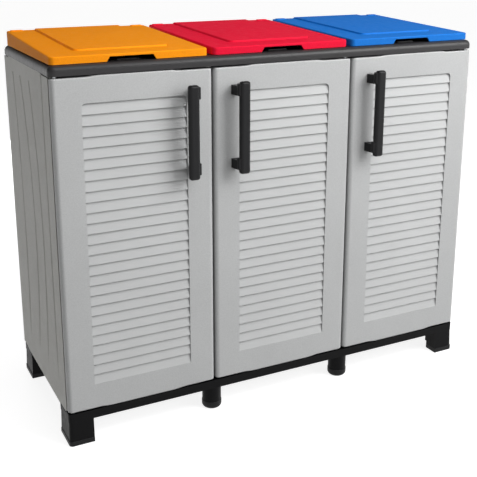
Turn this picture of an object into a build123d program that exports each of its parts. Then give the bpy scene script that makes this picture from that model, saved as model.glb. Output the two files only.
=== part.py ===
from build123d import *

import math
import os

# A three-bay recycling cabinet: louvred doors, fluted sides, a dark top frame and three sloping lids.
# Millimetres. +X is to the right, +Y to the back and +Z up, and the doors face -Y. The origin is on the
# floor, below the middle of the cabinet's bounding box.

# Whole cabinet
bay_pitch = 340.0
bay_centres = {"left": -bay_pitch, "centre": 0.0, "right": bay_pitch}
half_width = 1.5 * bay_pitch
face_y = -182.0
back_y = 218.0
middle_y = (face_y + back_y) / 2

# Levels above the floor
base_bottom_z = 54.5
base_top_z = 74.0
frame_bottom_z = 785.0
frame_top_z = 805.0

# Carcass
carcass_front_y = -157.5
skin = 4.0
rib = 4.0
side_thickness = 16.0
side_inset = 1.0
side_lip_front_y = -166.4
side_lip_clearance = 0.25
side_skin_bottom_z = 73.5
side_skin_top_z = 781.5
side_swell = 3.0
side_swell_start = 20.0
side_swell_end = 60.0
partition_thickness = 12.0
back_front_y = 206.0
back_rear_y = 216.0
back_columns = 6
back_rib_width = 12.0
back_rib_margin = 30.0
back_rib_radius = 8.0
back_rib_depth = 2.5
back_tongue_setback = 20.0
back_tongue_relief = 3.0
tongue_height = 12.0
tongue_thickness = 8.0
tongue_setback = 15.0
groove_clearance = 0.3
cell_columns = 3
cell_rows = 5
cell_border = 4.0
cell_radius = 4.0
web = 4.0

# Flutes of the side walls: depth behind the doors' faces at the top, half way and the bottom, and top level
flute_radius = 5.0
flute_depth = 2.4
flute_clear = 0.5
flute_low_z = 108.0
flute_bow = 0.44
flutes = [
    (66.0, 66.0, 66.0, 778.0),
    (172.0, 127.0, 155.0, 752.0),
    (250.0, 194.0, 232.0, 752.0),
    (318.0, 295.0, 314.0, 752.0),
]

# Doors
door_gap = 4.0
door_width = bay_pitch - door_gap
door_thickness = 22.0
door_back_y = face_y + door_thickness
door_bottom_z = 77.3
door_top_z = 781.0
door_edge_radius = 9.0
swell = 2.3
swell_start = 65.0
swell_end = 98.0
stile_width = 58.0
louvre_bottom_z = 133.0
louvre_top_z = 730.0
louvre_count = 27
louvre_depth = 4.8
louvre_flush = 0.6
louvre_wall = 3.5
louvre_lip = 2.5
window_radius = 9.0
hinge_column_edge = 24.0
free_column_edge = 5.0
column_border = 3.0
column_rows = 6
louvre_rib_depth = door_thickness - louvre_depth - louvre_wall

# Door hinges: the pin axis is half a door's thickness from the hinge edge and from the face
hinge_inset = door_thickness / 2
hinge_y = face_y + hinge_inset
pin_diameter = 6.0
running_clearance = 0.05
pin_bore_depth = 26.0
pin_grip = 15.0
pin_reach = 20.0
collar_diameter = 11.0
collar_clearance = 0.4

# Catches and strikes
strike_from_edge = 30.0
strike_z = 690.0
strike_width = 26.0
strike_height = 14.0
strike_thickness = 1.2
strike_border = 2.0
catch_gap = 0.5
catch_depth = 24.0
catch_width = 34.0

# Screws
screw_shank = 4.0
screw_hole = 4.2
screw_head_room = 0.6
screw_sink = 3.0
frame_screw_length = 20.0
frame_screw_hole = 16.0
base_screw_length = 9.0
base_screw_hole = 6.0
frame_screw_rows = (-90.0, 150.0)

# Handles
handle_length = 196.0
handle_width = 23.0
handle_depth = 15.5
handle_reach = 36.5
handle_top_z = 754.0
handle_from_edge = 55.5
handle_foot_from_edge = 45.0
handle_foot_width = 13.0
handle_foot_height = 20.0
handle_collar_height = 25.0
handle_collar_lift = 3.5
handle_collar_lean = 4.0
handle_screw_reach = 9.0
handle_screw_shift = 1.5
handle_screw_play = 1.0
handle_collar_inset = 2.25
handle_collar_back = 1.0
handle_collar_radius = 3.0
handle_corner_radius = 6.5
handle_end_radius = 5.5
handle_foot_drops = (20.0, 177.5)

# Top frame and bag rings
frame_corner_radius = 14.0
frame_edge_radius = 12.0
throat_width = 276.0
throat_front_y = -142.0
throat_rear_y = 154.0
throat_radius = 34.0
throat_depth = throat_rear_y - throat_front_y
throat_y = (throat_rear_y + throat_front_y) / 2
rebate = 8.0
rebate_depth = 6.0
ring_wall = 3.0
ring_drop = 30.0
ring_play = 0.5
ring_flange = 4.0

# Lids
lid_width = 328.0
lid_front_y = -170.0
lid_rear_y = 206.0
lid_bottom_z = 806.0
lid_front_top_z = 821.0
lid_rear_top_z = 837.0
lid_wall = 3.0
lid_axis_y = 194.0
lid_axis_z = 820.0
lid_heel_radius = 14.0
lid_boss = 4.0
lid_boss_gap = 0.6
lid_corner_radius = 10.0
lid_edge_radius = 2.5
panel_margin = 64.0
panel_start = 55.0
panel_end_margin = 2.5
panel_rise = 3.0
panel_radius = 12.0
crease_width = 2.2
crease_depth = 1.2
notch_width = 103.0
notch_height = 10.0
notch_slant = 6.5
knuckle_radius = 8.0
knuckle_width = 12.0
knuckle_neck = 15.0
knuckle_reach = 26.0
knuckle_root = 2.0

# Legs
leg_width = 52.0
leg_depth = 68.0
leg_arm_depth = 33.0
leg_arm_width = 27.0
leg_flare = 2.5
cap_ledge = 1.0
cap_bevel = 0.4
cap_lower_radius = 1.5
corner_reach = 508.5
corner_inner_reach = 504.0
outer_radius = 8.0
leg_top_reach = 507.5
foot_seam_z = 11.0
post_x = bay_pitch / 2
post_top_diameter = 43.5
post_bottom_diameter = 45.0
post_seam_z = 18.0
post_cap_radius = 9.0
spigot_diameter = 20.0
spigot_height = 10.0
spigot_play = 0.2

# Base tray
base_front_y = -181.0
base_rear_y = 215.5
base_side_x = 502.5
tray_columns = 9
tray_rows = 3
post_rows = {
    "front": base_front_y + post_bottom_diameter / 2,
    "rear": base_rear_y - post_bottom_diameter / 2,
}

# Where things repeat
leg_corners = {
    "front_left": (-1, 1),
    "front_right": (1, 1),
    "rear_left": (-1, -1),
    "rear_right": (1, -1),
}
back_spans = {
    "left": (-half_width + side_thickness, -post_x),
    "centre": (-post_x, post_x),
    "right": (post_x, half_width - side_thickness),
}
door_hinges = {
    "left": (bay_centres["left"], -1),
    "centre": (bay_centres["centre"], 1),
    "right": (bay_centres["right"], 1),
}
side_screw_x = half_width - 13.0
frame_screw_columns = (-side_screw_x, -post_x, post_x, side_screw_x)
frame_screw_spots = [(x, y) for x in frame_screw_columns for y in frame_screw_rows]


def finish(piece, name):
    """Names one finished piece and writes it."""
    piece.label = name
    export_step(piece, f"parts/{name}.step")


def swollen_outline(width, bottom, top, start, end, rise):
    """Draws a tall outline whose top and bottom edges stand out by rise between soft S-bends."""
    inner = width / 2 - end
    outer = width / 2 - start
    bend = (end - start) / 2
    half = width / 2
    Line((-half, bottom), (-outer, bottom))
    Bezier((-outer, bottom), (-outer + bend, bottom),
           (-inner - bend, bottom - rise), (-inner, bottom - rise))
    Line((-inner, bottom - rise), (inner, bottom - rise))
    Bezier((inner, bottom - rise), (inner + bend, bottom - rise), (outer - bend, bottom), (outer, bottom))
    Line((outer, bottom), (half, bottom))
    Line((half, bottom), (half, top))
    Line((half, top), (outer, top))
    Bezier((outer, top), (outer - bend, top), (inner + bend, top + rise), (inner, top + rise))
    Line((inner, top + rise), (-inner, top + rise))
    Bezier((-inner, top + rise), (-inner - bend, top + rise), (-outer + bend, top), (-outer, top))
    Line((-outer, top), (-half, top))
    Line((-half, top), (-half, bottom))


def front_plane(x, y, z):
    """A plane that faces the front, with its own X to the right and its own Y up."""
    return Plane(origin=(x, y, z), x_dir=(1, 0, 0), z_dir=(0, -1, 0))


def side_plane(x, y=0.0, z=0.0):
    """A plane that faces +X, with its own X to the back and its own Y up."""
    return Plane(origin=(x, y, z), x_dir=(0, 1, 0), z_dir=(1, 0, 0))


def cylinder_cut(centre, axis, diameter, depth):
    """Takes a round hole of this depth out of the current part, from centre along axis."""
    with BuildSketch(Plane(origin=centre, z_dir=axis)) as disc:
        Circle(diameter / 2)
    extrude(disc.sketch, amount=depth, mode=Mode.SUBTRACT)


def cylinder_add(centre, axis, diameter, length):
    """Adds a round bar of this length to the current part, from centre along axis."""
    with BuildSketch(Plane(origin=centre, z_dir=axis)) as disc:
        Circle(diameter / 2)
    extrude(disc.sketch, amount=length)


def pan_screw(seat, axis, shank, length):
    """Adds one screw: a head that stands on its seat and a shank that runs along axis."""
    cylinder_add(seat, axis, shank, length)
    head_axis = tuple(-part for part in axis)
    cylinder_add(seat, head_axis, shank * 2, shank * 0.6)


# Doors
def louvre_outline():
    """The sheet's stepped outline in a Y-Z plane: each slat leans out to its lower edge, then steps back."""
    pitch = (louvre_top_z - louvre_bottom_z) / louvre_count
    front = []
    for number in range(louvre_count):
        top = louvre_top_z - number * pitch
        front.append((face_y + louvre_depth, top))
        front.append((face_y + louvre_flush, top - pitch))
    rear = [(y + louvre_wall, z + louvre_lip) for y, z in reversed(front)]
    lip_y = face_y + louvre_flush
    root = [(y, louvre_bottom_z - louvre_lip) for y in (lip_y, lip_y + louvre_wall)]
    return front + root + rear


def door(centre, hinge_side):
    """One moulded door, open at the back, with a louvred panel and bores for its two hinge pins."""
    hinge_x = centre + hinge_side * (door_width / 2 - hinge_inset)
    free_x = centre - hinge_side * door_width / 2
    panel_width = door_width - 2 * stile_width
    panel_middle = (louvre_top_z + louvre_bottom_z) / 2
    panel_height = louvre_top_z - louvre_bottom_z
    with BuildPart() as panel:
        with BuildSketch(front_plane(centre, door_back_y, 0)):
            with BuildLine():
                swollen_outline(door_width, door_bottom_z, door_top_z, swell_start, swell_end, swell)
            make_face()
        extrude(amount=door_thickness)
        uprights = panel.edges().filter_by(Axis.Z)
        front_uprights = uprights.group_by(Axis.Y)[0]
        hinge_upright = uprights.group_by(Axis.Y)[-1].sort_by(Axis.X)[-1 if hinge_side > 0 else 0]
        fillet(front_uprights, door_edge_radius)
        fillet(hinge_upright, hinge_inset - 0.5)
        fillet(panel.faces().sort_by(Axis.Y)[0].edges().filter_by(Axis.Z, reverse=True), 3.0)
        # The window for the louvres
        with BuildSketch(front_plane(centre, face_y, 0)):
            with Locations((0, panel_middle)):
                window = Rectangle(panel_width, panel_height)
            fillet(window.vertices().group_by(Axis.Y)[-1], window_radius)
        extrude(amount=-door_thickness, mode=Mode.SUBTRACT)
        # The hollow back of each stile and rail
        column_height = (door_top_z - door_bottom_z) / column_rows
        free_column = stile_width - column_border - free_column_edge
        hinge_column = stile_width - column_border - hinge_column_edge
        for column_width, column_x in (
            (free_column, free_x + hinge_side * (free_column_edge + free_column / 2)),
            (hinge_column, hinge_x - hinge_side * (hinge_column_edge - hinge_inset + hinge_column / 2)),
        ):
            for row in range(column_rows):
                cell_z = door_bottom_z + (row + 0.5) * column_height
                with BuildSketch(front_plane(column_x, door_back_y, cell_z)):
                    RectangleRounded(column_width, column_height - 2 * rib, 2.0)
                extrude(amount=door_thickness - skin, mode=Mode.SUBTRACT)
        for rail_z, rail_height in (
            ((door_bottom_z + louvre_bottom_z) / 2, louvre_bottom_z - door_bottom_z - 2 * rib),
            ((door_top_z + louvre_top_z) / 2, door_top_z - louvre_top_z - 2 * rib),
        ):
            with BuildSketch(front_plane(centre, door_back_y, rail_z)):
                with GridLocations(panel_width / 3, 0, 3, 1):
                    RectangleRounded(panel_width / 3 - rib, rail_height, 2.0)
            extrude(amount=door_thickness - skin, mode=Mode.SUBTRACT)
        # The louvred sheet, and two ribs that stiffen it from behind
        with BuildSketch(side_plane(centre)):
            with BuildLine():
                Polyline(*louvre_outline(), close=True)
            make_face()
        extrude(amount=panel_width / 2, both=True)
        with BuildSketch(front_plane(centre, door_back_y - 2.0, panel_middle)):
            with GridLocations(panel_width / 3, 0, 2, 1):
                Rectangle(3.0, panel_height)
        extrude(amount=louvre_rib_depth)
        # Hinge bores, handle screw holes and the boss behind the strike plate
        bore = pin_diameter + 2 * running_clearance
        cylinder_cut((hinge_x, hinge_y, door_bottom_z - swell), (0, 0, 1), bore, pin_bore_depth)
        cylinder_cut((hinge_x, hinge_y, door_top_z + swell), (0, 0, -1), bore, pin_bore_depth)
        foot_x = free_x + hinge_side * (handle_foot_from_edge + handle_screw_shift)
        for drop in handle_foot_drops:
            cylinder_cut((foot_x, face_y, handle_top_z - drop), (0, 1, 0), screw_hole, skin)
        strike_x = free_x + hinge_side * strike_from_edge
        with BuildSketch(front_plane(strike_x, door_back_y, strike_z)):
            Rectangle(strike_width + 2 * strike_border, strike_height + 2 * strike_border)
        extrude(amount=door_thickness - skin)
    return panel.part



def door_pins(centre, hinge_side):
    """The two steel pins of one door, upper and lower. The lower one's collar carries the door."""
    hinge_x = centre + hinge_side * (door_width / 2 - hinge_inset)
    length = pin_grip + pin_reach
    collar_height = door_bottom_z - base_top_z - collar_clearance
    with BuildPart() as pins:
        cylinder_add((hinge_x, hinge_y, base_top_z - pin_grip), (0, 0, 1), pin_diameter, length)
        cylinder_add((hinge_x, hinge_y, base_top_z), (0, 0, 1), collar_diameter, collar_height)
        cylinder_add((hinge_x, hinge_y, frame_bottom_z + pin_grip), (0, 0, -1), pin_diameter, length)
    return pins.part


def handle_collar(bar_x, hinge_side, middle_z):
    """The swelling where one foot meets the bar, on the side of the door's free edge."""
    edge_x = bar_x - hinge_side * (handle_width / 2 + handle_collar_lean)
    front_y = face_y - handle_reach
    back_y_here = front_y + handle_depth - handle_collar_back
    with BuildPart() as collar:
        with BuildSketch(Plane.XY.offset(middle_z - handle_collar_height / 2)):
            with BuildLine():
                Polyline(
                    (bar_x, front_y + handle_collar_inset),
                    (edge_x, front_y + 2 * handle_collar_inset),
                    (edge_x, back_y_here),
                    (bar_x, back_y_here),
                    close=True,
                )
            make_face()
        extrude(amount=handle_collar_height)
        outer = collar.faces().sort_by(Axis.X)[0 if hinge_side > 0 else -1]
        fillet(outer.edges(), handle_collar_radius)
    return collar.part


def handle(centre, hinge_side):
    """A rounded bar handle near the door's free edge, on two slanting feet with a collar at the bar."""
    free_x = centre - hinge_side * door_width / 2
    bar_x = free_x + hinge_side * handle_from_edge
    foot_x = free_x + hinge_side * handle_foot_from_edge
    bar_middle_y = face_y - handle_reach + handle_depth / 2
    half_foot = handle_foot_width / 2
    with BuildPart() as grip:
        with BuildSketch(Plane.XY.offset(handle_top_z - handle_length)):
            with Locations((bar_x, bar_middle_y)):
                RectangleRounded(handle_width, handle_depth, handle_corner_radius)
        extrude(amount=handle_length)
        fillet(grip.faces().sort_by(Axis.Z)[0].edges(), handle_end_radius)
        fillet(grip.faces().sort_by(Axis.Z)[-1].edges(), handle_end_radius)
        for drop in handle_foot_drops:
            add(handle_collar(bar_x, hinge_side, handle_top_z - drop + handle_collar_lift))
            with BuildSketch(Plane.XY.offset(handle_top_z - drop - handle_foot_height / 2)):
                with BuildLine():
                    Polyline(
                        (foot_x - hinge_side * half_foot, face_y),
                        (foot_x + hinge_side * half_foot, face_y),
                        (bar_x + hinge_side * half_foot / 2, bar_middle_y),
                        (bar_x - hinge_side * (handle_width / 2 + handle_collar_lean / 2), bar_middle_y),
                        close=True,
                    )
                make_face()
            extrude(amount=handle_foot_height)
        for drop in handle_foot_drops:
            hole = (foot_x + hinge_side * handle_screw_shift, face_y, handle_top_z - drop)
            cylinder_cut(hole, (0, -1, 0), screw_hole, handle_screw_reach + handle_screw_play)
    return grip.part


def handle_screws(centre, hinge_side):
    """The two screws that hold a handle, put in from behind the door's face."""
    foot_x = centre - hinge_side * (door_width / 2 - handle_foot_from_edge - handle_screw_shift)
    with BuildPart() as screws:
        for drop in handle_foot_drops:
            seat = (foot_x, face_y + skin, handle_top_z - drop)
            pan_screw(seat, (0, -1, 0), screw_shank, skin + handle_screw_reach)
    return screws.part


def strike(centre, hinge_side):
    """The steel plate on the door that its magnetic catch holds."""
    plate_x = centre - hinge_side * (door_width / 2 - strike_from_edge)
    with BuildPart() as plate:
        with BuildSketch(front_plane(plate_x, door_back_y, strike_z)):
            RectangleRounded(strike_width, strike_height, 2.0)
        extrude(amount=-strike_thickness)
    return plate.part


def catch(centre, hinge_side):
    """A magnetic catch: a block on the partition, beside the door's free edge."""
    wall_x = centre - hinge_side * (bay_pitch / 2 - partition_thickness / 2)
    front_y = door_back_y + strike_thickness + catch_gap
    with BuildPart() as block:
        with BuildSketch(Plane.XY.offset(strike_z - strike_height / 2)):
            with Locations((wall_x + hinge_side * catch_width / 2, front_y + catch_depth / 2)):
                Rectangle(catch_width, catch_depth)
        extrude(amount=strike_height)
        fillet(block.edges().filter_by(Axis.Z), 2.0)
    return block.part


# Carcass
def flute(path_points, outside_x):
    """Takes one flute out of the right wall's skin: round at its upper end and fading at its lower end."""
    sunk = flute_radius - flute_depth
    lifts = (sunk, sunk, sunk, sunk, flute_radius + flute_clear)
    spine = [(outside_x + lift, y, z) for lift, (y, z) in zip(lifts, path_points)]
    with BuildLine() as path:
        Spline(*spine)
    with BuildSketch(Plane(origin=path.line @ 0, z_dir=path.line % 0)) as disc:
        Circle(flute_radius)
    sweep(disc.sketch, path=path.line, mode=Mode.SUBTRACT)
    with Locations(spine[0]):
        Sphere(flute_radius, mode=Mode.SUBTRACT)


def flute_path(top_depth, middle_depth, low_depth, top_z):
    """Five points down the middle of one flute: it bows towards the doors half way down."""
    quarter = (top_z - flute_low_z) / 8
    near_top = top_depth + (middle_depth - top_depth) * flute_bow
    near_low = low_depth + (middle_depth - low_depth) * flute_bow
    return (
        (face_y + top_depth, top_z),
        (face_y + near_top, top_z - quarter),
        (face_y + middle_depth, (top_z + flute_low_z) / 2),
        (face_y + near_low, flute_low_z + quarter),
        (face_y + low_depth, flute_low_z),
    )


def side_panel():
    """The right end wall: a thin fluted skin outside, a grid of ribs inside and a tongue on top."""
    outside_x = half_width - side_inset
    inside_x = half_width - side_thickness
    skin_inside_x = outside_x - skin
    width = back_rear_y - carcass_front_y
    middle = (carcass_front_y + back_rear_y) / 2
    height = frame_bottom_z - base_top_z
    middle_z = (base_top_z + frame_bottom_z) / 2
    frame_width = width - 1.0
    frame_depth = skin_inside_x - inside_x
    lip_width = carcass_front_y + skin - side_lip_front_y
    with BuildPart() as wall:
        with BuildSketch(side_plane(outside_x, middle)):
            with BuildLine():
                swollen_outline(
                    width,
                    side_skin_bottom_z,
                    side_skin_top_z,
                    side_swell_start,
                    side_swell_end,
                    side_swell,
                )
            make_face()
        extrude(amount=-skin)
        with BuildSketch(side_plane(skin_inside_x, middle, middle_z)):
            Rectangle(frame_width, height)
        extrude(amount=-frame_depth)
        # A lip in front, hollowed round the hinge axis, that narrows the gap beside the door
        with BuildSketch(side_plane(outside_x, side_lip_front_y + lip_width / 2, middle_z)):
            Rectangle(lip_width, height - 2 * skin)
        extrude(amount=-skin)
        corner_sweep = door_edge_radius + math.sqrt(2) * (hinge_inset - door_edge_radius)
        hollow = 2 * (corner_sweep + side_lip_clearance)
        axis_x = half_width - door_gap / 2 - hinge_inset
        cylinder_cut((axis_x, hinge_y, base_top_z), (0, 0, 1), hollow, height)
        # Cells between the ribs
        column_step = (frame_width - 2 * cell_border) / cell_columns
        row_step = (height - 2 * cell_border) / cell_rows
        with BuildSketch(side_plane(inside_x, middle, middle_z)):
            with GridLocations(column_step, row_step, cell_columns, cell_rows):
                RectangleRounded(column_step - rib, row_step - rib, cell_radius)
        extrude(amount=frame_depth, mode=Mode.SUBTRACT)
        # The tongue that enters the top frame
        with BuildSketch(Plane.XY.offset(frame_bottom_z)):
            with Locations((inside_x + tongue_thickness / 2, middle)):
                Rectangle(tongue_thickness, width - 2 * tongue_setback)
        extrude(amount=tongue_height)
        for y in frame_screw_rows:
            tongue_top = (side_screw_x, y, frame_bottom_z + tongue_height)
            cylinder_cut(tongue_top, (0, 0, -1), screw_hole, frame_screw_hole)
            cylinder_cut((side_screw_x, y, base_top_z), (0, 0, 1), screw_hole, base_screw_hole)
        for depths_and_top in flutes:
            flute(flute_path(*depths_and_top), outside_x)
    return wall.part


def partition(x):
    """A wall between two bays: a thin web with ribs on both faces and a tongue on top."""
    front = carcass_front_y
    width = back_front_y - front
    middle = (front + back_front_y) / 2
    height = frame_bottom_z - base_top_z
    middle_z = (frame_bottom_z + base_top_z) / 2
    column_step = (width - 2 * cell_border) / cell_columns
    row_step = (height - 2 * cell_border) / cell_rows
    with BuildPart() as wall:
        with BuildSketch(side_plane(x, middle, middle_z)):
            Rectangle(width, height)
        extrude(amount=partition_thickness / 2, both=True)
        for face in (-1, 1):
            with BuildSketch(side_plane(x + face * partition_thickness / 2, middle, middle_z)):
                with GridLocations(column_step, row_step, cell_columns, cell_rows):
                    RectangleRounded(column_step - rib, row_step - rib, cell_radius)
            extrude(amount=-face * (partition_thickness - web) / 2, mode=Mode.SUBTRACT)
        with BuildSketch(Plane.XY.offset(frame_bottom_z)):
            with Locations((x, middle)):
                Rectangle(tongue_thickness, width - 2 * tongue_setback)
        extrude(amount=tongue_height)
        for y in frame_screw_rows:
            cylinder_cut((x, y, frame_bottom_z + tongue_height), (0, 0, -1), screw_hole, frame_screw_hole)
            cylinder_cut((x, y, base_top_z), (0, 0, 1), screw_hole, base_screw_hole)
    return wall.part


def back_panel(left, right):
    """The rear wall of one bay, pressed with shallow upright ribs, with a tongue on top."""
    width = right - left
    middle = (left + right) / 2
    thickness = back_rear_y - back_front_y
    height = frame_bottom_z - base_top_z
    middle_z = (frame_bottom_z + base_top_z) / 2
    step = (width - 4 * cell_border) / back_columns
    cell_width = (width - 2 * cell_border) / 2
    cell_height = (height - 2 * cell_border) / 4
    with BuildPart() as wall:
        with BuildSketch(front_plane(middle, back_rear_y, middle_z)):
            Rectangle(width, height)
        extrude(amount=thickness)
        with BuildSketch(front_plane(middle, back_rear_y, middle_z)):
            with GridLocations(step, 0, back_columns, 1):
                RectangleRounded(step - back_rib_width, height - 2 * back_rib_margin, back_rib_radius)
        extrude(amount=back_rib_depth, mode=Mode.SUBTRACT)
        with BuildSketch(front_plane(middle, back_front_y, middle_z)):
            with GridLocations(cell_width, cell_height, 2, 4):
                RectangleRounded(cell_width - rib, cell_height - rib, cell_radius)
        extrude(amount=-(thickness - back_rib_depth - skin), mode=Mode.SUBTRACT)
        with BuildSketch(Plane.XY.offset(frame_bottom_z)):
            with Locations((middle, (back_front_y + back_rear_y) / 2)):
                Rectangle(width - 2 * back_tongue_setback, thickness - back_tongue_relief)
        extrude(amount=tongue_height)
    return wall.part


# Top frame
def throat_outline(x, growth):
    """Draws a throat's outline, moved out by growth on every side."""
    with Locations((x, throat_y)):
        RectangleRounded(throat_width + 2 * growth, throat_depth + 2 * growth, throat_radius + growth)


def top_frame():
    """The dark frame that ties the walls together, with three throats, grooves and lid knuckles."""
    depth = back_y - face_y
    height = frame_top_z - frame_bottom_z
    wall_middle = (carcass_front_y + back_rear_y) / 2
    wall_width = back_rear_y - carcass_front_y
    partition_middle = (carcass_front_y + back_front_y) / 2
    partition_width = back_front_y - carcass_front_y
    side_tongue_x = half_width - side_thickness + tongue_thickness / 2
    slack = 2 * groove_clearance
    with BuildPart() as frame:
        with BuildSketch(Plane.XY.offset(frame_bottom_z)):
            with Locations((0, middle_y)):
                RectangleRounded(2 * half_width, depth, frame_corner_radius)
        extrude(amount=height)
        fillet(frame.faces().sort_by(Axis.Z)[-1].edges(), frame_edge_radius)
        with BuildSketch(Plane.XY.offset(frame_bottom_z)):
            for x in bay_centres.values():
                throat_outline(x, 0.0)
        extrude(amount=height, mode=Mode.SUBTRACT)
        with BuildSketch(Plane.XY.offset(frame_top_z - rebate_depth)):
            for x in bay_centres.values():
                throat_outline(x, rebate)
        extrude(amount=rebate_depth, mode=Mode.SUBTRACT)
        # Grooves for the tongues of the walls
        with BuildSketch(Plane.XY.offset(frame_bottom_z)):
            for side in (-1, 1):
                with Locations((side * side_tongue_x, wall_middle)):
                    Rectangle(tongue_thickness + slack, wall_width - 2 * tongue_setback + slack)
                with Locations((side * post_x, partition_middle)):
                    Rectangle(tongue_thickness + slack, partition_width - 2 * tongue_setback + slack)
            for left, right in back_spans.values():
                groove_width = right - left - 2 * back_tongue_setback + slack
                groove_depth = back_rear_y - back_front_y - back_tongue_relief + slack
                with Locations(((left + right) / 2, (back_front_y + back_rear_y) / 2)):
                    Rectangle(groove_width, groove_depth)
        extrude(amount=tongue_height, mode=Mode.SUBTRACT)
        # Knuckles for the lids: each reaches back from a post, so that the lid's heel can pass below
        for x in bay_centres.values():
            for side in (-1, 1):
                start = x + side * (lid_width / 2 - lid_wall - lid_boss - lid_boss_gap - knuckle_width)
                with BuildSketch(side_plane(start)):
                    with BuildLine():
                        Polyline(
                            (lid_axis_y, lid_axis_z + knuckle_radius),
                            (lid_axis_y - knuckle_reach, lid_axis_z + knuckle_radius),
                            (lid_axis_y - knuckle_reach, frame_top_z - knuckle_root),
                            (lid_axis_y - knuckle_neck, frame_top_z - knuckle_root),
                            (lid_axis_y - knuckle_neck, lid_axis_z - knuckle_radius),
                            (lid_axis_y, lid_axis_z - knuckle_radius),
                        )
                        ThreePointArc(
                            (lid_axis_y, lid_axis_z - knuckle_radius),
                            (lid_axis_y + knuckle_radius, lid_axis_z),
                            (lid_axis_y, lid_axis_z + knuckle_radius),
                        )
                    make_face()
                extrude(amount=side * knuckle_width)
                cylinder_cut((start, lid_axis_y, lid_axis_z), (side, 0, 0), pin_diameter, knuckle_width)
        # Bores for the door pins and the frame screws
        for x, hinge_side in door_hinges.values():
            hinge_x = x + hinge_side * (door_width / 2 - hinge_inset)
            cylinder_cut((hinge_x, hinge_y, frame_bottom_z), (0, 0, 1), pin_diameter, pin_grip)
        for x, y in frame_screw_spots:
            cylinder_cut((x, y, frame_top_z), (0, 0, -1), screw_hole, height)
            cylinder_cut((x, y, frame_top_z), (0, 0, -1), screw_shank * 2 + screw_head_room, screw_sink)
    return frame.part


def frame_screws():
    """The screws that hold the top frame down on the walls."""
    with BuildPart() as screws:
        for x, y in frame_screw_spots:
            pan_screw((x, y, frame_top_z - screw_sink), (0, 0, -1), screw_shank, frame_screw_length)
    return screws.part


def base_screws():
    """The screws that hold the walls down on the base tray."""
    with BuildPart() as screws:
        for x, y in frame_screw_spots:
            pan_screw((x, y, base_top_z - skin), (0, 0, 1), screw_shank, base_screw_length)
    return screws.part


def bag_ring(x):
    """A loose ring in a throat: its flange lies in the rebate and the bag hangs on its collar."""
    seat_z = frame_top_z - rebate_depth
    with BuildPart() as ring:
        with BuildSketch(Plane.XY.offset(seat_z)):
            throat_outline(x, rebate - ring_play)
        extrude(amount=ring_flange)
        fillet(ring.faces().sort_by(Axis.Z)[-1].edges(), 1.5)
        with BuildSketch(Plane.XY.offset(seat_z)):
            throat_outline(x, -ring_play)
        extrude(amount=-ring_drop)
        with BuildSketch(Plane.XY.offset(seat_z - ring_drop)):
            throat_outline(x, -ring_play - ring_wall)
        extrude(amount=ring_drop + ring_flange, mode=Mode.SUBTRACT)
        # A tab to lift the ring by
        with BuildSketch(Plane.XY.offset(seat_z + ring_flange / 2)):
            with Locations((x, throat_front_y - ring_play)):
                RectangleRounded(46.0, 7.0, 2.0)
        extrude(amount=ring_flange * 1.5)
    return ring.part


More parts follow.
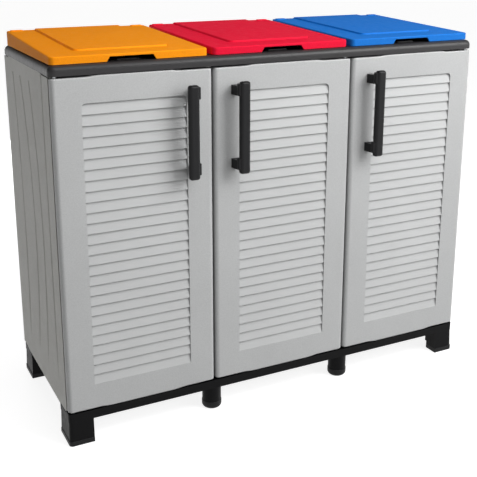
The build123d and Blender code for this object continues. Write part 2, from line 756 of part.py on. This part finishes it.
# Lids
def lid(x):
    """A hollow sloping lid with a raised panel, a finger notch in front and two hinge bosses inside."""
    half = lid_width / 2
    slope = math.atan2(lid_rear_top_z - lid_front_top_z, lid_rear_y - lid_front_y)
    with BuildPart() as cover:
        with BuildSketch(side_plane(x)):
            with BuildLine():
                Polyline(
                    (lid_front_y, lid_bottom_z),
                    (lid_rear_y, lid_bottom_z),
                    (lid_rear_y, lid_rear_top_z),
                    (lid_front_y, lid_front_top_z),
                    close=True,
                )
            make_face()
        extrude(amount=half, both=True)
        fillet(cover.edges().filter_by(Axis.Z), lid_corner_radius)
        fillet(cover.faces().sort_by(Axis.Z)[-1].edges(), lid_edge_radius)
        # The raised panel in its crease, from near the front to the rear edge, and a pad at each rear corner
        up = (0, -math.sin(slope), math.cos(slope))
        deck = Plane(origin=(x, lid_front_y, lid_front_top_z), x_dir=(1, 0, 0), z_dir=up)
        deck_length = (lid_rear_y - lid_front_y) / math.cos(slope)
        panel_end = deck_length - panel_end_margin
        panel_width = lid_width - 2 * panel_margin
        for level, growth, height, taper, mode in (
            (0.0, crease_width, -crease_depth, 0.0, Mode.SUBTRACT),
            (-crease_depth, crease_depth / 2, panel_rise + crease_depth, 30.0, Mode.ADD),
        ):
            with BuildSketch(deck.offset(level)):
                with Locations((0, (panel_start - growth + panel_end) / 2)):
                    raised = Rectangle(panel_width + 2 * growth, panel_end - panel_start + growth)
                fillet(raised.vertices().group_by(Axis.Y)[0], panel_radius + growth)
            extrude(amount=height, taper=taper, mode=mode)
        for side in (-1, 1):
            with BuildSketch(deck):
                with Locations((side * (half - 22.0), deck_length - 10.0)):
                    RectangleRounded(28.0, 12.0, 4.0)
            extrude(amount=1.6, taper=20.0)
        # The hollow inside
        with BuildSketch(side_plane(x)):
            with BuildLine():
                Polyline(
                    (lid_front_y + lid_wall, lid_bottom_z),
                    (lid_rear_y - lid_wall, lid_bottom_z),
                    (lid_rear_y - lid_wall, lid_rear_top_z - lid_wall),
                    (lid_front_y + lid_wall, lid_front_top_z - lid_wall),
                    close=True,
                )
            make_face()
        extrude(amount=half - lid_wall, both=True, mode=Mode.SUBTRACT)
        # The heel, rounded about the hinge axis
        with BuildSketch(side_plane(x)):
            with Locations((lid_axis_y + 10.0, lid_axis_z - 10.0)):
                Rectangle(20.0, 20.0)
            with Locations((lid_axis_y, lid_axis_z)):
                Circle(lid_heel_radius, mode=Mode.SUBTRACT)
        extrude(amount=half + 1.0, both=True, mode=Mode.SUBTRACT)
        # Hinge bosses and bores
        bore = pin_diameter + 2 * running_clearance
        boss_length = lid_wall + lid_boss - 1.0
        for side in (-1, 1):
            wall_x = x + side * half
            boss_start = (wall_x - side * 1.0, lid_axis_y, lid_axis_z)
            bore_start = (wall_x + side * 1.0, lid_axis_y, lid_axis_z)
            cylinder_add(boss_start, (-side, 0, 0), 2 * knuckle_radius, boss_length)
            cylinder_cut(bore_start, (-side, 0, 0), bore, boss_length + 3.0)
        # The finger notch
        half_notch = notch_width / 2
        with BuildSketch(front_plane(x, lid_front_y + lid_wall + 1.0, lid_bottom_z)):
            with BuildLine():
                Polyline(
                    (-half_notch, 0),
                    (half_notch, 0),
                    (half_notch - notch_slant, notch_height),
                    (-half_notch + notch_slant, notch_height),
                    close=True,
                )
            make_face()
        extrude(amount=lid_wall + 2.0, mode=Mode.SUBTRACT)
    return cover.part


def lid_pins(x):
    """The two steel pins that a lid turns on, gripped by the top frame's knuckles."""
    length = lid_wall + lid_boss + lid_boss_gap + knuckle_width - 0.5
    with BuildPart() as pins:
        for side in (-1, 1):
            outer = x + side * (lid_width / 2 - 0.5)
            cylinder_add((outer, lid_axis_y, lid_axis_z), (-side, 0, 0), pin_diameter, length)
    return pins.part


# Base and legs
def base_tray():
    """The black floor of the cabinet: a ribbed tray with solid corners and round bosses for the posts."""
    height = base_top_z - base_bottom_z
    depth = base_rear_y - base_front_y
    tray_y = (base_rear_y + base_front_y) / 2
    with BuildPart() as tray:
        with BuildSketch(Plane.XY.offset(base_bottom_z)):
            with Locations((0, tray_y)):
                Rectangle(2 * base_side_x, depth)
        extrude(amount=height)
        # Open cells below the floor
        column_step = (2 * base_side_x - rib) / tray_columns
        row_step = (depth - rib) / tray_rows
        with BuildSketch(Plane.XY.offset(base_bottom_z)):
            with Locations((0, tray_y)):
                with GridLocations(column_step, row_step, tray_columns, tray_rows):
                    Rectangle(column_step - rib, row_step - rib)
        extrude(amount=height - skin, mode=Mode.SUBTRACT)
        # Corners over the legs: full width below the walls' skins and under the doors, narrower between
        shoulder_z = base_top_z - skin
        lip_depth = carcass_front_y - base_front_y - 1.0
        for side in (-1, 1):
            corner_x = side * (corner_reach - leg_width / 2)
            inner_corner_x = side * (corner_inner_reach - leg_width / 2)
            for front, edge_y in ((1, base_front_y), (-1, base_rear_y)):
                corner_y = edge_y + front * leg_depth / 2
                with BuildSketch(Plane.XY.offset(base_bottom_z)):
                    with Locations((corner_x, corner_y)):
                        corner = Rectangle(leg_width, leg_depth)
                    fillet(corner.vertices().sort_by(lambda v: v.X * side - v.Y * front)[-1], outer_radius)
                extrude(amount=shoulder_z - base_bottom_z)
                with BuildSketch(Plane.XY.offset(shoulder_z)):
                    with Locations((inner_corner_x, corner_y)):
                        Rectangle(leg_width, leg_depth)
                extrude(amount=skin)
            with BuildSketch(Plane.XY.offset(shoulder_z)):
                with Locations((corner_x, base_front_y + lip_depth / 2)):
                    lip = Rectangle(leg_width, lip_depth)
                fillet(lip.vertices().sort_by(lambda v: v.X * side - v.Y)[-1], outer_radius)
            extrude(amount=skin)
        post_spots = [(side * post_x, y) for side in (-1, 1) for y in post_rows.values()]
        for x, y in post_spots:
            cylinder_add((x, y, base_bottom_z), (0, 0, 1), post_top_diameter, height)
        for x, y in post_spots + [leg_spigot(side, front) for side, front in leg_corners.values()]:
            socket = spigot_diameter + spigot_play
            cylinder_cut((x, y, base_bottom_z), (0, 0, 1), socket, spigot_height + spigot_play)
        for x, hinge_side in door_hinges.values():
            hinge_x = x + hinge_side * (door_width / 2 - hinge_inset)
            cylinder_cut((hinge_x, hinge_y, base_top_z), (0, 0, -1), pin_diameter, pin_grip)
        for x, y in frame_screw_spots:
            cylinder_cut((x, y, base_bottom_z), (0, 0, 1), screw_shank * 2 + screw_head_room, height - skin)
            cylinder_cut((x, y, base_top_z), (0, 0, -1), screw_hole, skin)
    return tray.part


def leg_spigot(side, front):
    """The plan position of a corner leg's spigot. front is 1 for a front leg and -1 for a rear one."""
    edge_y = base_front_y if front > 0 else base_rear_y
    return side * (leg_top_reach - leg_width / 2), edge_y + front * (leg_arm_depth / 2 + 1.0)


def leg_outline(side, front, flare):
    """A corner leg's L-shaped outline: outer faces moved out by flare, inner faces where they are."""
    outer_x = side * (leg_top_reach + flare)
    edge_y = (base_front_y if front > 0 else base_rear_y) - front * flare
    inner_x = side * (leg_top_reach - leg_width)
    elbow_x = side * (leg_top_reach - leg_arm_width)
    arm_y = edge_y + front * (leg_arm_depth + flare)
    end_y = edge_y + front * (leg_depth + flare)
    Polyline(
        (outer_x, edge_y),
        (inner_x, edge_y),
        (inner_x, arm_y),
        (elbow_x, arm_y),
        (elbow_x, end_y),
        (outer_x, end_y),
        close=True,
    )


def corner_leg(side, front):
    """A corner leg of L section that widens a little towards the floor, with a spigot on top."""
    with BuildPart() as leg:
        with BuildSketch(Plane.XY.offset(base_bottom_z)):
            with BuildLine():
                leg_outline(side, front, 0.0)
            make_face()
        with BuildSketch(Plane.XY.offset(foot_seam_z)):
            with BuildLine():
                leg_outline(side, front, leg_flare - cap_ledge)
            make_face()
        loft(ruled=True)
        outer = leg.edges().sort_by(lambda e: e.center().X * side - e.center().Y * front)
        fillet(outer[-1], outer_radius)
        x, y = leg_spigot(side, front)
        cylinder_add((x, y, base_bottom_z), (0, 0, 1), spigot_diameter, spigot_height)
    return leg.part


def corner_foot(side, front):
    """The cap on a corner leg, a little wider than the leg, so that its upper edge shows as a seam."""
    with BuildPart() as foot:
        with BuildSketch(Plane.XY):
            with BuildLine():
                leg_outline(side, front, leg_flare)
            make_face()
        extrude(amount=foot_seam_z)
        uprights = foot.edges().filter_by(Axis.Z)
        fillet(uprights.sort_by(lambda e: e.center().X * side - e.center().Y * front)[-1], outer_radius)
        fillet(foot.faces().sort_by(Axis.Z)[0].edges(), cap_lower_radius)
        chamfer(foot.faces().sort_by(Axis.Z)[-1].edges(), cap_bevel)
    return foot.part


def post(x, y):
    """A round leg between two bays, with a spigot on top."""
    with BuildPart() as leg:
        with BuildSketch(Plane.XY.offset(base_bottom_z)):
            with Locations((x, y)):
                Circle(post_top_diameter / 2)
        with BuildSketch(Plane.XY.offset(post_seam_z)):
            with Locations((x, y)):
                Circle(post_bottom_diameter / 2 - cap_ledge)
        loft(ruled=True)
        cylinder_add((x, y, base_bottom_z), (0, 0, 1), spigot_diameter, spigot_height)
    return leg.part


def post_foot(x, y):
    """The round cap on a post, with a broadly rounded lower edge."""
    with BuildPart() as foot:
        with BuildSketch(Plane.XY):
            with Locations((x, y)):
                Circle(post_bottom_diameter / 2)
        extrude(amount=post_seam_z)
        fillet(foot.faces().sort_by(Axis.Z)[0].edges(), post_cap_radius)
        chamfer(foot.faces().sort_by(Axis.Z)[-1].edges(), cap_bevel)
    return foot.part


os.makedirs("parts", exist_ok=True)

finish(base_tray(), "base_tray")
for corner, (side, front) in leg_corners.items():
    finish(corner_leg(side, front), f"leg_{corner}")
    finish(corner_foot(side, front), f"foot_{corner}")
for row, y in post_rows.items():
    for side_name, side in (("left", -1), ("right", 1)):
        finish(post(side * post_x, y), f"post_{row}_{side_name}")
        finish(post_foot(side * post_x, y), f"post_foot_{row}_{side_name}")
right_wall = side_panel()
finish(mirror(right_wall, about=Plane.YZ), "side_panel_left")
finish(right_wall, "side_panel_right")
for side_name, side in (("left", -1), ("right", 1)):
    finish(partition(side * post_x), f"partition_{side_name}")
for bay, (left, right) in back_spans.items():
    finish(back_panel(left, right), f"back_panel_{bay}")
finish(top_frame(), "top_frame")
finish(frame_screws(), "frame_screws")
finish(base_screws(), "base_screws")
for bay, colour in (("left", "orange"), ("centre", "red"), ("right", "blue")):
    finish(bag_ring(bay_centres[bay]), f"bag_ring_{bay}")
    finish(lid(bay_centres[bay]), f"lid_{colour}")
    finish(lid_pins(bay_centres[bay]), f"lid_pins_{bay}")
for bay, (centre, hinge_side) in door_hinges.items():
    finish(door(centre, hinge_side), f"door_{bay}")
    finish(door_pins(centre, hinge_side), f"door_pins_{bay}")
    finish(handle(centre, hinge_side), f"handle_{bay}")
    finish(handle_screws(centre, hinge_side), f"handle_screws_{bay}")
    finish(strike(centre, hinge_side), f"door_strike_{bay}")
    finish(catch(centre, hinge_side), f"door_catch_{bay}")
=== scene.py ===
import math

import bpy
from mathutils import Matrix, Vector


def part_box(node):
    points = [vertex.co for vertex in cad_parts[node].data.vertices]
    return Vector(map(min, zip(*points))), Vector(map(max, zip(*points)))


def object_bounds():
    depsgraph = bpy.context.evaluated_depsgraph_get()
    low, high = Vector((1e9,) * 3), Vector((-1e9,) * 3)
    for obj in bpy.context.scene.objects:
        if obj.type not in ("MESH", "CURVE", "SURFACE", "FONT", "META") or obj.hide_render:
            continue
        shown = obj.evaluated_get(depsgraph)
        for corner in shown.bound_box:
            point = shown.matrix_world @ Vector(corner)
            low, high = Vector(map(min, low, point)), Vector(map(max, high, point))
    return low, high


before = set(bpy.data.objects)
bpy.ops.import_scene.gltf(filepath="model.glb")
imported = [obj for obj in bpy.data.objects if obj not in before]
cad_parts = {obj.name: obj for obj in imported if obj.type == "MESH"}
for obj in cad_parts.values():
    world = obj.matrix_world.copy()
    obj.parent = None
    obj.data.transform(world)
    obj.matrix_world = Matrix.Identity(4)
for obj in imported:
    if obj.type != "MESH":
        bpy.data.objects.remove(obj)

cad_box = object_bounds()
scene = bpy.context.scene
scene.view_settings.view_transform = "Standard"

# Metres. The louvred panel is a little above the middle of its door.
DOOR_STILE = 0.058
LOUVRE_LIFT = 0.0024
LOUVRE_HALF_HEIGHT = 0.2985
RUB_RADIUS = 0.0016
CREVICE_REACH = 0.012
FLOOR_RADIUS = 60.0
FLOOR_GAP = 0.0002

# Noise scales, from the broadest to the finest.
FLOOR_CLOUDS = 1.2
CLOUDS = 5.0
WEAR_AND_HIGHLIGHT_PATCHES = 38.0
GLOSS_PATCHES = 60.0
ZINC_PATCHES = 140.0
FLECKS = 380.0
BRUSH_LINES = 2600.0

CAMERA_PLACE = (-0.905, -1.765, 1.03)
CAMERA_YAW = math.radians(26.59)
CAMERA_PITCH = math.radians(15.18)
CAMERA_LENS = 64.6
CAMERA_SHIFT = -0.135


# ---------------------------------------------------------------- node helpers
def srgb(red, green, blue):
    """A linear colour from 0 to 255 screen values."""
    def linear(value):
        value /= 255
        return value / 12.92 if value <= 0.04045 else ((value + 0.055) / 1.055) ** 2.4
    return (linear(red), linear(green), linear(blue), 1.0)


class Graph:
    """A short way to write a node tree."""

    def __init__(self, tree):
        self.tree = tree

    def add(self, kind, inputs=None, **settings):
        node = self.tree.nodes.new(kind)
        for name, value in settings.items():
            setattr(node, name, value)
        for key, value in (inputs or {}).items():
            self.feed(node.inputs[key], value)
        return node

    def feed(self, socket, value):
        if isinstance(value, bpy.types.NodeSocket):
            self.tree.links.new(value, socket)
        else:
            socket.default_value = value

    def math(self, operation, first, second=0.0, clamp=False):
        node = self.add("ShaderNodeMath", {0: first, 1: second}, operation=operation)
        node.use_clamp = clamp
        return node.outputs[0]

    def span(self, value, low, high, to_low=0.0, to_high=1.0, smooth=False):
        node = self.add("ShaderNodeMapRange", {
            "Value": value, "From Min": low, "From Max": high, "To Min": to_low, "To Max": to_high})
        if smooth:
            node.interpolation_type = "SMOOTHSTEP"
        return node.outputs["Result"]

    def noise(self, where, scale, detail=2.0, rough=0.5, distortion=0.0):
        return self.add("ShaderNodeTexNoise", {
            "Vector": where, "Scale": scale, "Detail": detail, "Roughness": rough,
            "Distortion": distortion}).outputs["Fac"]

    def mix(self, factor, first, second, blend="MIX"):
        node = self.add("ShaderNodeMix", data_type="RGBA", blend_type=blend)
        self.feed(node.inputs["Factor"], factor)
        self.feed(node.inputs["A"], first)
        self.feed(node.inputs["B"], second)
        return node.outputs["Result"]


def tinted(colour, factor):
    return tuple(min(1.0, channel * factor) for channel in colour[:3]) + (1.0,)


def painted_louvre_light_mask(graph, where):
    """1 on a door's louvred panel, which gets painted light, and 0 on its frame."""
    part = graph.add("ShaderNodeSeparateXYZ", {0: where})
    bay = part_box("door_centre")
    half_bay = (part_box("door_right")[0].x - bay[0].x) / 2
    half_panel = (bay[1].x - bay[0].x) / 2 - DOOR_STILE
    across = graph.math("ABSOLUTE", graph.add("ShaderNodeMath", {
        0: part.outputs["X"], 1: half_bay, 2: -half_bay}, operation="WRAP").outputs[0])
    middle = (bay[0].z + bay[1].z) / 2
    up = graph.math("ABSOLUTE", graph.math("SUBTRACT", part.outputs["Z"], middle + LOUVRE_LIFT))
    inside = graph.math("LESS_THAN", across, half_panel)
    return graph.math("MULTIPLY", inside, graph.math("LESS_THAN", up, LOUVRE_HALF_HEIGHT))


def plastic(name, colour, roughness=0.5, specular=0.5, grain=0.00012, grain_scale=420.0,
            mottle=0.05, fleck=0.05, wear_and_highlight_tint=1.12, wear_and_highlight=0.5, painted_crevice_shade=0.25, painted_louvre_light=None):
    """Moulded plastic: a pebbled skin, faint clouds and flecks in the colour, edges that are lighter and
    smoother (partly real scuffing, partly a painted highlight), and painted shade in corners and grooves. A
    door's louvred panels are painted lighter than its frame, in place of the light on the slats, by a given
    factor, and have no flecks."""
    material = bpy.data.materials.new(name)
    material.use_nodes = True
    graph = Graph(material.node_tree)
    shader = material.node_tree.nodes["Principled BSDF"]
    where = graph.add("ShaderNodeTexCoord").outputs["Object"]
    normal = graph.add("ShaderNodeNewGeometry").outputs["Normal"]

    clouds = graph.noise(where, CLOUDS, 4.0, 0.6, 0.3)
    flecks = graph.noise(where, FLECKS, 3.0, 0.7)
    shade = graph.mix(graph.span(clouds, 0.3, 0.7), tinted(colour, 1 - mottle), tinted(colour, 1 + mottle))
    darker = graph.mix(1.0, shade, (1 - fleck, 1 - fleck, 1 - fleck, 1), "MULTIPLY")
    lighter = graph.mix(1.0, shade, (1 + fleck, 1 + fleck, 1 + fleck, 1), "MULTIPLY")
    shade = graph.mix(graph.span(flecks, 0.35, 0.65), darker, lighter)
    # Painted light: the louvred panels are tinted lighter than the frame, standing in for the light that
    # falls on the tilted slats.
    if painted_louvre_light:
        painted_lit_louvres = graph.mix(graph.span(clouds, 0.3, 0.7), tinted(colour, painted_louvre_light - mottle),
                          tinted(colour, painted_louvre_light + mottle))
        shade = graph.mix(painted_louvre_light_mask(graph, where), shade, painted_lit_louvres)

    # Edges lighter than the face: partly real scuffing, partly a painted highlight along edges and seams.
    rounded = graph.add("ShaderNodeBevel", {"Radius": RUB_RADIUS}, samples=4).outputs["Normal"]
    turn = graph.add("ShaderNodeVectorMath", {0: rounded, 1: normal},
                     operation="DOT_PRODUCT").outputs["Value"]
    edge = graph.span(turn, 0.985, 0.80)
    patches = graph.span(graph.noise(where, WEAR_AND_HIGHLIGHT_PATCHES, 5.0, 0.7), 0.38, 0.66, 0.25, 1.0)
    rubbed_and_highlit = graph.math("MULTIPLY", graph.math("MULTIPLY", edge, patches, True), wear_and_highlight)
    shade = graph.mix(rubbed_and_highlit, shade, tinted(colour, wear_and_highlight_tint))

    # Painted shade: the colour darkens toward a dark tint where ambient occlusion finds a corner, groove or
    # gap, deepening the dark lines between slats and between parts.
    open_sky = graph.add("ShaderNodeAmbientOcclusion", {"Distance": CREVICE_REACH}, samples=6).outputs["AO"]
    crevice_shade = graph.span(open_sky, 0.75, 0.25, 0.0, painted_crevice_shade)
    shade = graph.mix(crevice_shade, shade, tinted(colour, 0.55))
    graph.feed(shader.inputs["Base Color"], shade)

    gloss = graph.span(graph.noise(where, GLOSS_PATCHES, 3.0, 0.6), 0.3, 0.7,
                       roughness - 0.05, roughness + 0.06)
    polish = graph.math("MULTIPLY", rubbed_and_highlit, 0.12)
    graph.feed(shader.inputs["Roughness"], graph.math("SUBTRACT", gloss, polish))
    shader.inputs["Specular IOR Level"].default_value = specular

    pebbles = graph.add("ShaderNodeTexVoronoi", {"Vector": where, "Scale": grain_scale},
                        feature="SMOOTH_F1").outputs["Distance"]
    fine = graph.noise(where, grain_scale * 1.9, 3.0, 0.6)
    skin = graph.math("ADD", graph.math("MULTIPLY", pebbles, 0.7), fine)
    bump = graph.add("ShaderNodeBump", {"Strength": 1.0, "Distance": grain, "Height": skin})
    graph.feed(shader.inputs["Normal"], bump.outputs["Normal"])
    return material


def metal(name, colour, roughness=0.32):
    """Zinc-plated steel with fine brushing and faint dull patches."""
    material = bpy.data.materials.new(name)
    material.use_nodes = True
    graph = Graph(material.node_tree)
    shader = material.node_tree.nodes["Principled BSDF"]
    where = graph.add("ShaderNodeTexCoord").outputs["Object"]
    shader.inputs["Metallic"].default_value = 1.0
    patches = graph.noise(where, ZINC_PATCHES, 4.0, 0.6)
    graph.feed(shader.inputs["Base Color"],
               graph.mix(graph.span(patches, 0.35, 0.7), colour, tinted(colour, 0.72)))
    brushed = graph.add("ShaderNodeMapping", {"Vector": where, "Scale": (1.0, 1.0, 0.06)}).outputs["Vector"]
    lines = graph.noise(brushed, BRUSH_LINES, 2.0, 0.5)
    graph.feed(shader.inputs["Roughness"], graph.span(lines, 0.3, 0.7, roughness - 0.08, roughness + 0.12))
    bump = graph.add("ShaderNodeBump", {"Strength": 0.6, "Distance": 0.00004, "Height": lines})
    graph.feed(shader.inputs["Normal"], bump.outputs["Normal"])
    return material


MATERIALS = {
    "light_grey_plastic": plastic("light_grey_skin", srgb(191, 190, 185), 0.5, 0.35, mottle=0.03,
                                  fleck=0.06, wear_and_highlight_tint=1.06, wear_and_highlight=0.5, painted_crevice_shade=0.3),
    # The doors carry strong painted shade in their slat grooves, and louvred panels painted lighter.
    "door_": plastic("door_skin", srgb(187, 188, 188), 0.42, 0.5, mottle=0.03,
                     fleck=0.06, wear_and_highlight_tint=1.12, wear_and_highlight=0.7, painted_crevice_shade=0.8, painted_louvre_light=1.08),
    "handle_": plastic("handle_skin", srgb(17, 17, 19), 0.38, 0.24, grain=0.00025,
                       mottle=0.08, fleck=0.12, wear_and_highlight_tint=2.6, wear_and_highlight=0.6),
    "dark_grey_plastic": plastic("dark_grey_skin", srgb(50, 49, 50), 0.34, 0.28, grain=0.00008,
                                 mottle=0.06, wear_and_highlight_tint=1.5, wear_and_highlight=0.5),
    "black_plastic": plastic("black_skin", srgb(14, 14, 15), 0.42, 0.08, grain=0.0001,
                             mottle=0.08, wear_and_highlight_tint=2.2, wear_and_highlight=0.5),
    "ring_plastic": plastic("ring_skin", srgb(52, 52, 54), 0.45, 0.45, mottle=0.07, wear_and_highlight_tint=1.8),
    # The feet's edges are tinted many times lighter: a painted highlight along the cap seams.
    "foot_plastic": plastic("foot_skin", srgb(14, 14, 15), 0.5, 0.2, mottle=0.1, wear_and_highlight_tint=14.0, wear_and_highlight=0.9),
    "orange_plastic": plastic("orange_skin", srgb(255, 152, 18), 0.55, 0.06, grain=0.00005,
                              grain_scale=600.0, mottle=0.03, wear_and_highlight_tint=1.12, painted_crevice_shade=0.35),
    "red_plastic": plastic("red_skin", srgb(234, 24, 58), 0.55, 0.05, grain=0.00005,
                           grain_scale=600.0, mottle=0.03, wear_and_highlight_tint=1.2, painted_crevice_shade=0.35),
    "blue_plastic": plastic("blue_skin", srgb(28, 116, 206), 0.55, 0.08, grain=0.00005,
                            grain_scale=600.0, mottle=0.03, wear_and_highlight_tint=1.3, painted_crevice_shade=0.35),
    "steel": metal("zinc_plate", srgb(188, 190, 192)),
}

for name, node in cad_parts.items():
    for place in node.material_slots:
        slot = place.material.name.split(".")[0]
        if slot == "light_grey_plastic" and name.startswith("door_"):
            slot = "door_"
        elif slot == "black_plastic" and name.startswith("handle_"):
            slot = "handle_"
        place.material = MATERIALS[slot]


# ---------------------------------------------------------------- floor
def disc(name, radius, rings=10, sides=96):
    """A flat disc of rings, which is the floor."""
    points = [(0.0, 0.0, 0.0)]
    faces = []
    for ring in range(1, rings + 1):
        reach = radius * (ring / rings) ** 2
        for side in range(sides):
            angle = 2 * math.pi * side / sides
            points.append((reach * math.cos(angle), reach * math.sin(angle), 0.0))
    for side in range(sides):
        faces.append((0, 1 + side, 1 + (side + 1) % sides))
    for ring in range(1, rings):
        inner, outer = 1 + (ring - 1) * sides, 1 + ring * sides
        for side in range(sides):
            after = (side + 1) % sides
            faces.append((inner + side, outer + side, outer + after, inner + after))
    mesh = bpy.data.meshes.new(name)
    mesh.from_pydata(points, [], faces)
    mesh.update()
    thing = bpy.data.objects.new(name, mesh)
    scene.collection.objects.link(thing)
    return thing


def floor_material():
    material = bpy.data.materials.new("pale_floor")
    material.use_nodes = True
    graph = Graph(material.node_tree)
    shader = material.node_tree.nodes["Principled BSDF"]
    where = graph.add("ShaderNodeTexCoord").outputs["Object"]
    clouds = graph.noise(where, FLOOR_CLOUDS, 3.0, 0.5)
    graph.feed(shader.inputs["Base Color"],
               graph.mix(graph.span(clouds, 0.3, 0.7), (0.40, 0.40, 0.40, 1), (0.42, 0.42, 0.42, 1)))
    shader.inputs["Roughness"].default_value = 0.9
    shader.inputs["Specular IOR Level"].default_value = 0.1
    shader.inputs["Emission Color"].default_value = (1.0, 1.0, 1.0, 1.0)
    shader.inputs["Emission Strength"].default_value = 0.86
    return material


floor = disc("floor", FLOOR_RADIUS)
floor.data.materials.append(floor_material())
floor.location.z = cad_box[0].z - FLOOR_GAP
floor.visible_diffuse = False


# ---------------------------------------------------------------- light
def studio_world():
    """Soft room light: brightest at the horizon, dim below and high up behind, stronger from the right."""
    world = bpy.data.worlds.new("studio")
    scene.world = world
    world.use_nodes = True
    tree = world.node_tree
    graph = Graph(tree)
    where = graph.add("ShaderNodeTexCoord").outputs["Generated"]
    split = graph.add("ShaderNodeSeparateXYZ", {0: where})
    height = split.outputs["Z"]
    sky = graph.span(height, 0.0, 0.42, 1.0, 0.27, True)
    ground = graph.span(height, -0.12, -0.02, 0.10, 1.0, True)
    brighter_right = graph.span(split.outputs["X"], 0.1, 0.8, 0.95, 1.4, True)
    behind = graph.math("MULTIPLY", graph.span(split.outputs["Y"], 0.0, 0.6, 0.0, 0.8, True),
                        graph.span(height, 0.06, 0.20, 0.0, 1.0, True))
    light = graph.math("MULTIPLY", graph.math("MULTIPLY", sky, ground), brighter_right)
    light = graph.math("MULTIPLY", light, graph.math("SUBTRACT", 1.0, behind))
    background = tree.nodes["Background"]
    graph.feed(background.inputs["Color"], light)
    background.inputs["Strength"].default_value = 1.0


def softbox(name, place, aim, size, power):
    """A square lamp that faces a point."""
    lamp = bpy.data.lights.new(name, "AREA")
    lamp.energy = power
    lamp.size = size
    thing = bpy.data.objects.new(name, lamp)
    scene.collection.objects.link(thing)
    thing.location = place
    thing.rotation_mode = "QUATERNION"
    thing.rotation_quaternion = (Vector(aim) - Vector(place)).to_track_quat("-Z", "Y")
    return thing


studio_world()
softbox("key_box", (1.5, -1.75, 2.1), (0.1, 0.0, 0.6), 1.5, 56)
softbox("side_box", (2.6, -2.3, 1.1), (0.2, 0.0, 0.8), 1.2, 10)
softbox("top_box", (0.0, -1.2, 2.5), (0.0, 0.0, 0.7), 1.6, 16)
softbox("back_box", (0.0, 2.8, 0.5), (0.0, 0.2, 0.35), 0.9, 26)


# ---------------------------------------------------------------- camera
def photo_camera():
    """The camera stands in front of the left end and looks down across the doors."""
    lens = bpy.data.cameras.new("camera")
    lens.sensor_width = 36.0
    lens.lens = CAMERA_LENS
    lens.shift_y = CAMERA_SHIFT
    lens.clip_start, lens.clip_end = 0.05, 200.0
    eye = bpy.data.objects.new("camera", lens)
    scene.collection.objects.link(eye)
    level = math.cos(CAMERA_PITCH)
    look = Vector((math.sin(CAMERA_YAW) * level, math.cos(CAMERA_YAW) * level, -math.sin(CAMERA_PITCH)))
    eye.location = CAMERA_PLACE
    eye.rotation_mode = "QUATERNION"
    eye.rotation_quaternion = look.to_track_quat("-Z", "Y")
    scene.camera = eye


photo_camera()
